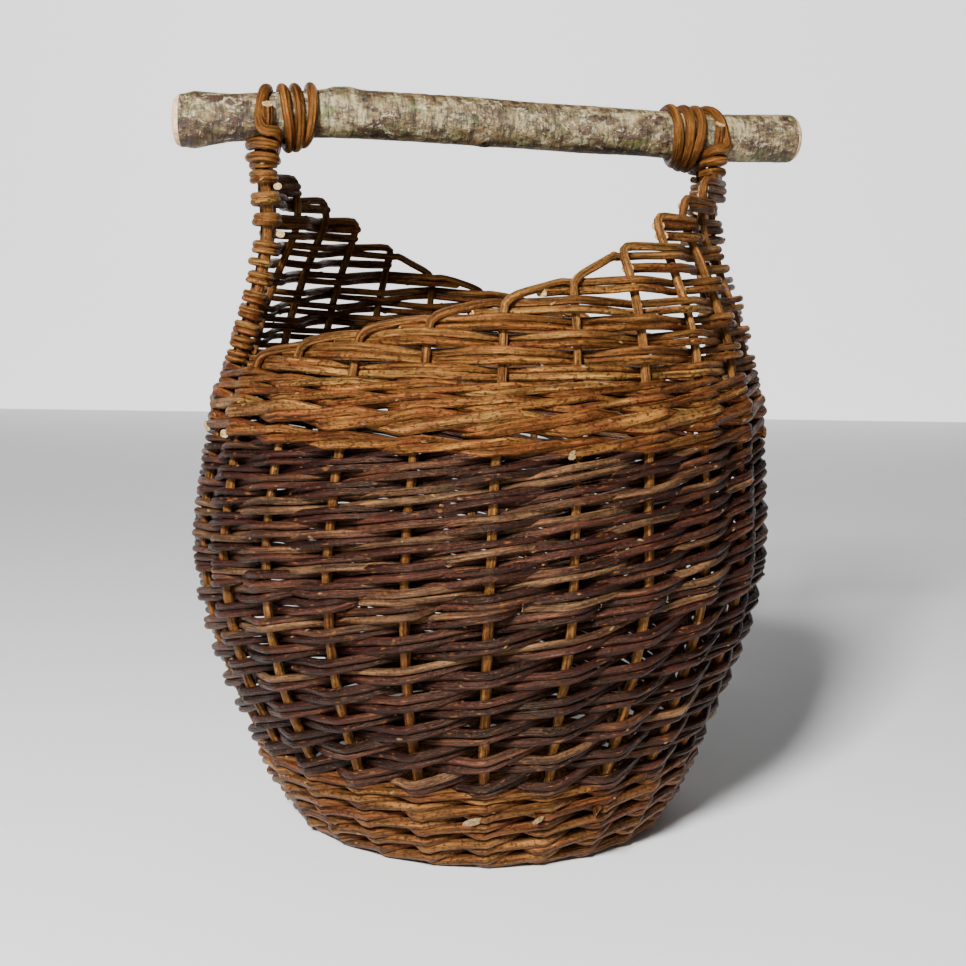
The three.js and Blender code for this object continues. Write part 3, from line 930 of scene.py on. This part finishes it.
def make_base():
    sticks = Rods("base_cross_sticks", 91, sides=14, spacing=5 * MM, buds=0.1)
    nodes = []
    for lane in (-1, 0, 1):
        ends = stick_points(0, lane)
        for part in (ends[:3], ends[:2:-1]):
            sticks.add(part, SLIT_STICK_RADIUS * 0.85, SLIT_STICK_RADIUS, rough=1.5)
        for lift in (-1, 1):
            split = [(x, y, z + lift * h * MM) for (x, y, z), h in zip(ends[1:5], (2.6, 5.0, 5.0, 2.6))]
            sticks.add(split, 4.6 * MM, tone=0.6, flat=0.42, rough=0.6)
        sticks.add(stick_points(1, lane), THREADED_RADIUS, rough=1.5)
        nodes += [f"base_slit_stick_{lane + 2}", f"base_threaded_stick_{lane + 2}"]
    place(sticks.build(BASE), "base_willow", *nodes)

    weave = Rods("base_weave_rods", 92, sides=8, spacing=6 * MM, buds=0.12)
    spokes = 12
    radius = 2.35 * MM
    for first, last, groups in ((29 * MM, 43 * MM, 4), (43.5 * MM, 122 * MM, spokes)):
        turns = (last - first) / (2.1 * radius)
        for strand in (0, 1):
            points = []
            total = int(turns * groups)
            for k in range(total + 1):
                reach = first + (last - first) * k / total
                spoke = BASE_TURN + k * 2 * math.pi / groups
                thick = SLIT_STICK_RADIUS * 0.9 if groups == 4 or (k // 3) % 2 == 0 else THREADED_RADIUS
                over = (k + strand) % 2
                high = (thick + radius) * (1 if over else -1)
                spot = reach + (radius * 0.8 if over else -radius * 0.5)
                for r, angle, up in ((reach, spoke, high), (spot, spoke + math.pi / groups, 0)):
                    points.append((middle_x(0) + r * math.cos(angle), r * math.sin(angle), BASE_MIDDLE + up))
            run = len(points) // 4
            for piece in range(4):
                part = points[piece * run: (piece + 1) * run + 2]
                if len(part) > 3:
                    weave.add(part, radius, radius * 0.92)
    place(weave.build(BASE), "base_willow", "base_weave")


# ---- the branch across the top ----


def read_log():
    """Stations along the CAD log, with the height of its middle and its radius at each."""
    rings = {}
    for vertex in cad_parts["log_handle"].data.vertices:
        rings.setdefault(round(vertex.co.x / MM), []).append(vertex.co.z)
    stations = sorted(x for x, heights in rings.items() if max(heights) - min(heights) > 10 * MM)
    middles = [(max(rings[x]) + min(rings[x])) / 2 for x in stations]
    radii = [(max(rings[x]) - min(rings[x])) / 2 for x in stations]
    return np.array(stations) * MM, np.array(middles), np.array(radii)


LOG_X, LOG_Z, LOG_R = read_log()


def handle_axis(x):
    """Height and sideways place of the branch's middle at a distance along it."""
    sway = 1.6 * MM * math.sin(x * 21 + 0.6) + 0.8 * MM * math.sin(x * 47)
    return float(smooth_table(LOG_X, LOG_Z, np.array([x]))[0]), sway


FULL = LOG_R > 15 * MM
CUT_TILT = 0.3
END_PROUD = 0.9 * MM


def handle_radius(x):
    return float(np.interp(x, LOG_X[FULL], LOG_R[FULL]))


# place along the branch, angle round it (0 towards the front, 90 up), size
KNOTS = [
    (-0.122, 72, 9.5), (-0.016, -62, 6.5), (0.070, 30, 4.6), (0.119, 20, 5.2), (-0.108, 30, 5.0),
    (-0.196, 12, 4.0), (0.181, -25, 4.4), (0.028, 150, 5.0), (-0.085, 200, 6.0), (0.150, 110, 4.0),
]


def make_handle():
    across, around = 420, 96
    bevel = 4 * MM
    rings, knot_mask = [], []
    stations = np.linspace(-HANDLE_HALF, HANDLE_HALF, across)
    ends = ((-HANDLE_HALF, 1), (HANDLE_HALF, -1))
    for x in stations:
        z, y = handle_axis(x)
        ring, masks = [], []
        for k in range(around):
            angle = 2 * math.pi * k / around
            direction = (-math.cos(angle), math.sin(angle))
            radius = handle_radius(x)
            spot = Vector((x * 14, direction[0] * 1.3, direction[1] * 1.3))
            radius += 0.75 * MM * noise.noise(spot)
            fine = Vector((x * 120, direction[0] * 5, direction[1] * 5))
            radius += 0.28 * MM * noise.fractal(fine, 0.8, 2.1, 3)
            mask = 0.0
            for place_x, degrees, size in KNOTS:
                turn = math.radians(degrees) - angle
                turn = math.atan2(math.sin(turn), math.cos(turn)) * HANDLE_RADIUS
                away = math.hypot((x - place_x) / 1.25, turn) / (size * MM)
                radius += size * 0.42 * MM * math.exp(-away * away * 1.1)
                radius -= size * 0.45 * MM * math.exp(-away * away * 9)
                mask = max(mask, math.exp(-away * away * 5))
            ring.append((x, y + radius * direction[0], z + radius * direction[1]))
            masks.append(mask)
        rings.append(ring)
        knot_mask.append(masks)
    rings = np.array(rings)
    centres = rings.mean(1)
    # whittled bevels at both ends
    for edge, inward in ends:
        for i, x in enumerate(stations):
            depth = (x - edge) * inward
            if depth < bevel:
                keep = 0.84 + 0.16 * (depth / bevel) ** 0.6
                rings[i] = centres[i] + (rings[i] - centres[i]) * keep
    # the left end is sawn a little askew
    slack = np.clip(1 - (stations + HANDLE_HALF) / (30 * MM), 0, 1)[:, None]
    rings[:, :, 0] += slack * CUT_TILT * (rings[:, :, 1] + HANDLE_RADIUS / 3)
    centres = rings.mean(1)
    verts = rings.reshape(-1, 3)
    faces = []
    for i in range(across - 1):
        for k in range(around):
            n = (k + 1) % around
            faces.append((i * around + k, (i + 1) * around + k, (i + 1) * around + n, i * around + n))
    depth = np.minimum(stations + HANDLE_HALF, HANDLE_HALF - stations)
    bare = np.repeat((depth < bevel * 0.98).astype(float), around)
    knots = np.array(knot_mask).ravel()
    # end faces: rings that shrink to a middle, standing a little proud
    extra_verts, extra_faces = [], []
    total = len(verts)
    for first, centre, inward in ((0, centres[0], 1), ((across - 1) * around, centres[-1], -1)):
        outer = list(range(first, first + around))
        for scale in (0.8, 0.5, 0.2):
            ring = list(range(total + len(extra_verts), total + len(extra_verts) + around))
            proud = np.array([-inward * END_PROUD * (1 - scale), 0, 0])
            extra_verts += [centre + (verts[first + k] - centre) * scale + proud for k in range(around)]
            for k in range(around):
                n = (k + 1) % around
                extra_faces.append((outer[k], outer[n], ring[n], ring[k])[::inward])
            outer = ring
        middle = total + len(extra_verts)
        extra_verts.append(centre + np.array([-inward * END_PROUD, 0, 0]))
        extra_faces += [(outer[k], outer[(k + 1) % around], middle)[::inward] for k in range(around)]
    verts = np.vstack([verts, np.array(extra_verts)])
    bare = np.concatenate([bare, np.ones(len(extra_verts))])
    knots = np.concatenate([knots, np.zeros(len(extra_verts))])
    mesh = bpy.data.meshes.new("branch_handle")
    mesh.from_pydata(verts.tolist(), [], [tuple(face) for face in faces + extra_faces])
    mesh.validate()
    store(mesh, "bare", bare)
    store(mesh, "knot", knots)
    place(finished(mesh, branch_bark()), "handle_bark", "log_handle")


def branch_bark():
    """Hazel bark: silver and olive grey, with brown blotches, lichen, fine cracks and pale cut ends."""
    g = Graph("hazel_bark")
    coord = g.node("ShaderNodeTexCoord").outputs["Object"]
    broad = g.noise(g.scaled(coord, (22, 40, 40)), detail=5, roughness=0.68)
    color = g.ramp(broad, [
        (0.36, srgb(34, 22, 13)), (0.44, srgb(72, 50, 28)), (0.5, srgb(112, 90, 56)),
        (0.57, srgb(158, 142, 104)), (0.68, srgb(98, 78, 44)),
    ])
    blotch = g.noise(g.scaled(coord, (50, 80, 80)), detail=5, roughness=0.72)
    color = g.mix(g.range(blotch, 0.5, 0.56, 0, 0.85), color, srgb(58, 34, 18))
    lichen = g.noise(g.scaled(coord, (110, 180, 180)), detail=6, roughness=0.78, distortion=0.6)
    color = g.mix(g.range(lichen, 0.55, 0.6, 0, 0.85), color, srgb(178, 168, 136))
    green = g.noise(g.scaled(coord, (62, 110, 110)), detail=4, roughness=0.65, distortion=1.2)
    color = g.mix(g.range(green, 0.55, 0.62, 0, 0.75), color, srgb(84, 88, 42))
    grain = g.noise(g.scaled(coord, (420, 90, 90)), detail=5, roughness=0.7)
    ticks = g.ramp(grain, [(0.38, (0.18,) * 3), (0.5, (1.0,) * 3), (0.64, (1.5,) * 3)])
    color = g.mix(0.85, color, ticks, "MULTIPLY")
    knot = g.attribute("knot", "Fac")
    color = g.mix(g.range(knot, 0.3, 0.8), color, srgb(34, 20, 12))
    rings = g.noise(g.scaled(coord, (60, 320, 320)), detail=3)
    wood = g.mix(g.range(rings, 0.35, 0.65), srgb(226, 196, 158), srgb(196, 152, 108))
    bare = g.attribute("bare", "Fac")
    color = g.mix(g.range(bare, 0.4, 0.6), color, wood)
    g.link(color, g.bsdf.inputs["Base Color"])
    g.link(g.range(lichen, 0.3, 0.7, 0.3, 0.6), g.bsdf.inputs["Roughness"])
    height = g.math("ADD", g.math("MULTIPLY", lichen, 1.4), g.math("MULTIPLY", grain, 0.9))
    height = g.math("ADD", height, g.math("MULTIPLY", blotch, 1.6))
    g.link(g.bump(height, 0.8, 1.6 * MM), g.bsdf.inputs["Normal"])
    return g.material


# ---- lashings ----

LASHING_ROD = 3.9 * MM
# turns made round the log, and how far from the post towards the basket's middle the rod is at each
COIL = [
    (0.0, -5), (0.12, -2), (0.25, 3), (0.38, 7), (0.5, 12), (0.75, 18.5), (0.9, 17), (1.0, 14.5),
    (1.25, 13.5), (1.5, 18), (1.75, 24), (2.0, 23.5), (2.25, 22.6), (2.5, 26), (2.75, 29.5), (3.0, 33),
    (3.25, 33.6), (3.5, 34.5), (3.62, 32.5),
]
COIL_SAG = [(0, 0), (0.5, 0), (0.75, 4.5), (1.25, 0), (1.75, 4), (2.25, 0), (2.75, 1.5), (4, 0)]


# a turn round a post's two rods: shares of its reach inward and of its front, and mm up
BINDING_HEIGHTS = (0.4925, 0.5015)
BINDING_TURN = [
    (0.9, -0.45, -1.5), (0.45, -0.95, 0), (-0.45, -0.95, 0.8), (-1, -0.4, 0.5),
    (-1, 0.4, 1), (-0.4, 1, 3), (0.4, 1, 4), (1, 0.4, 4),
]
BINDING_END = 0.5105
BINDING_LAST = [(0.95, -0.55, -4), (0.55, -0.94, -0.8), (-0.45, -0.94, 0.6)]


def lashing_points(sign):
    """Up round the two rods of a post, then over the log and along it."""
    reach = LASHING_ROD + POST_ROD_RADIUS + 0.2 * MM
    post = post_x(sign, HANDLE_HEIGHT)
    points = []

    def beside(inward, y, z):
        points.append((post_x(sign, z) - sign * inward, y, z))

    for z in BINDING_HEIGHTS:
        front = post_spread(z) + reach
        for inward, y, up in BINDING_TURN:
            beside(reach * inward, front * y, z + up * MM)
    z = BINDING_END
    front = post_spread(z) + reach
    for inward, y, up in BINDING_LAST:
        beside(reach * inward, front * y, z + up * MM)
    turns, inward = zip(*COIL)
    sag_turns, sag = zip(*COIL_SAG)
    for turn in np.arange(0, turns[-1], 1 / 12):
        angle = math.pi - turn * 2 * math.pi
        x = post - sign * float(smooth_table(np.array(turns), np.array(inward), np.array([turn]))[0]) * MM
        middle, aside = handle_axis(x)
        round_log = handle_radius(x) + LASHING_ROD * 0.5
        drop = np.interp(turn, sag_turns, sag) * MM * max(0.0, -math.sin(angle))
        points.append((x, aside + round_log * math.cos(angle), middle + round_log * math.sin(angle) - drop))
    return points


def make_lashings():
    for sign, name in ((1, "right"), (-1, "left")):
        rods = Rods(f"{name}_lashing_rod", 101 + sign, sides=16, spacing=3.2 * MM, buds=0.2)
        rods.add(lashing_points(sign), LASHING_ROD, LASHING_ROD * 0.97, tone=0.5, rough=0.8, slant=0.3)
        place(rods.build(LASHING), "lashing_willow", f"{name}_lashing", f"{name}_post_binding")


# ---- stage ----

CAMERA_YAW = math.radians(-17)
CAMERA_DISTANCE = 1.162
CAMERA_HEIGHT = 0.4164
CAMERA_PITCH = math.radians(7.99)
CAMERA_ROLL = math.radians(0.82)
CAMERA_ASIDE = math.radians(0.09)
CAMERA_LENS = 56.75


def make_camera():
    back = Vector((math.sin(CAMERA_YAW), -math.cos(CAMERA_YAW), 0))
    aim = -back
    aim.rotate(Matrix.Rotation(-CAMERA_ASIDE, 3, "Z"))
    forward = aim * math.cos(CAMERA_PITCH) - Vector((0, 0, math.sin(CAMERA_PITCH)))
    right = forward.cross(Vector((0, 0, 1))).normalized()
    up = right.cross(forward)
    tilted = right * math.cos(CAMERA_ROLL) + up * math.sin(CAMERA_ROLL)
    up = up * math.cos(CAMERA_ROLL) - right * math.sin(CAMERA_ROLL)
    data = bpy.data.cameras.new("camera")
    data.sensor_width = 36
    data.lens = CAMERA_LENS
    camera = link_object("camera", data)
    camera.matrix_world = Matrix((
        (tilted.x, up.x, -forward.x, back.x * CAMERA_DISTANCE + float(middle_x(0.24))),
        (tilted.y, up.y, -forward.y, back.y * CAMERA_DISTANCE),
        (tilted.z, up.z, -forward.z, CAMERA_HEIGHT),
        (0, 0, 0, 1),
    ))
    bpy.context.scene.camera = camera


BACKDROP_AWAY = 3.2
BACKDROP_WIDTH = 4.4
BACKDROP_HEIGHT = 2.2
FLOOR_SIZE = 6
FLOOR_BELOW = 0.5 * MM
WORLD_LIGHT = 0.08
KEY_PLACE = (-1.36, -1.83, 1.75)
KEY_POWER = 215
FILL_PLACE = (0.3, -2.6, 0.7)
FILL_POWER = 3
LIT_POINT = (0, 0, 0.3)


def area_light(name, place_at, size, power):
    data = bpy.data.lights.new(name, "AREA")
    data.size = size
    data.energy = power
    light = link_object(name, data)
    light.location = place_at
    direction = Vector(LIT_POINT) - Vector(place_at)
    light.rotation_euler = direction.to_track_quat("-Z", "Y").to_euler()


def stage_sheet(name, material_name, corners, rough=None, glow=None):
    """A flat pale sheet of the stage, through four corners."""
    mesh = bpy.data.meshes.new(name)
    mesh.from_pydata(corners, [], [(0, 1, 2, 3)])
    g = Graph(material_name)
    g.bsdf.inputs["Base Color"].default_value = (0.86, 0.86, 0.86, 1)
    if rough is not None:
        g.bsdf.inputs["Roughness"].default_value = rough
    if glow is not None:
        g.bsdf.inputs["Emission Color"].default_value = (1, 1, 1, 1)
        g.bsdf.inputs["Emission Strength"].default_value = glow
    mesh.materials.append(g.material)
    sheet = link_object(name, mesh)
    return sheet


def make_stage():
    size = FLOOR_SIZE
    corners = [(-size, -size, 0), (size, -size, 0), (size, size, 0), (-size, size, 0)]
    floor = stage_sheet("floor", "pale_floor", corners, rough=0.9)
    floor.location.z = -FLOOR_BELOW
    back = Vector((-math.sin(CAMERA_YAW), math.cos(CAMERA_YAW), 0)) * BACKDROP_AWAY
    side = Vector((math.cos(CAMERA_YAW), math.sin(CAMERA_YAW), 0)) * BACKDROP_WIDTH / 2
    high = Vector((0, 0, BACKDROP_HEIGHT))
    corners = [back - side, back + side, back + side + high, back - side + high]
    stage_sheet("backdrop", "lit_backdrop", corners, glow=1.0)
    world = bpy.data.worlds.new("world")
    world.use_nodes = True
    background = world.node_tree.nodes["Background"]
    background.inputs["Color"].default_value = (1, 1, 1, 1)
    background.inputs["Strength"].default_value = WORLD_LIGHT
    bpy.context.scene.world = world
    area_light("key", KEY_PLACE, 0.5, KEY_POWER)
    area_light("fill", FILL_PLACE, 1.4, FILL_POWER)


make_camera()
make_stage()
make_stakes()
make_posts()
make_dark_siding()
make_foot()
make_waist()
make_panels()
make_base()
make_handle()
make_lashings()
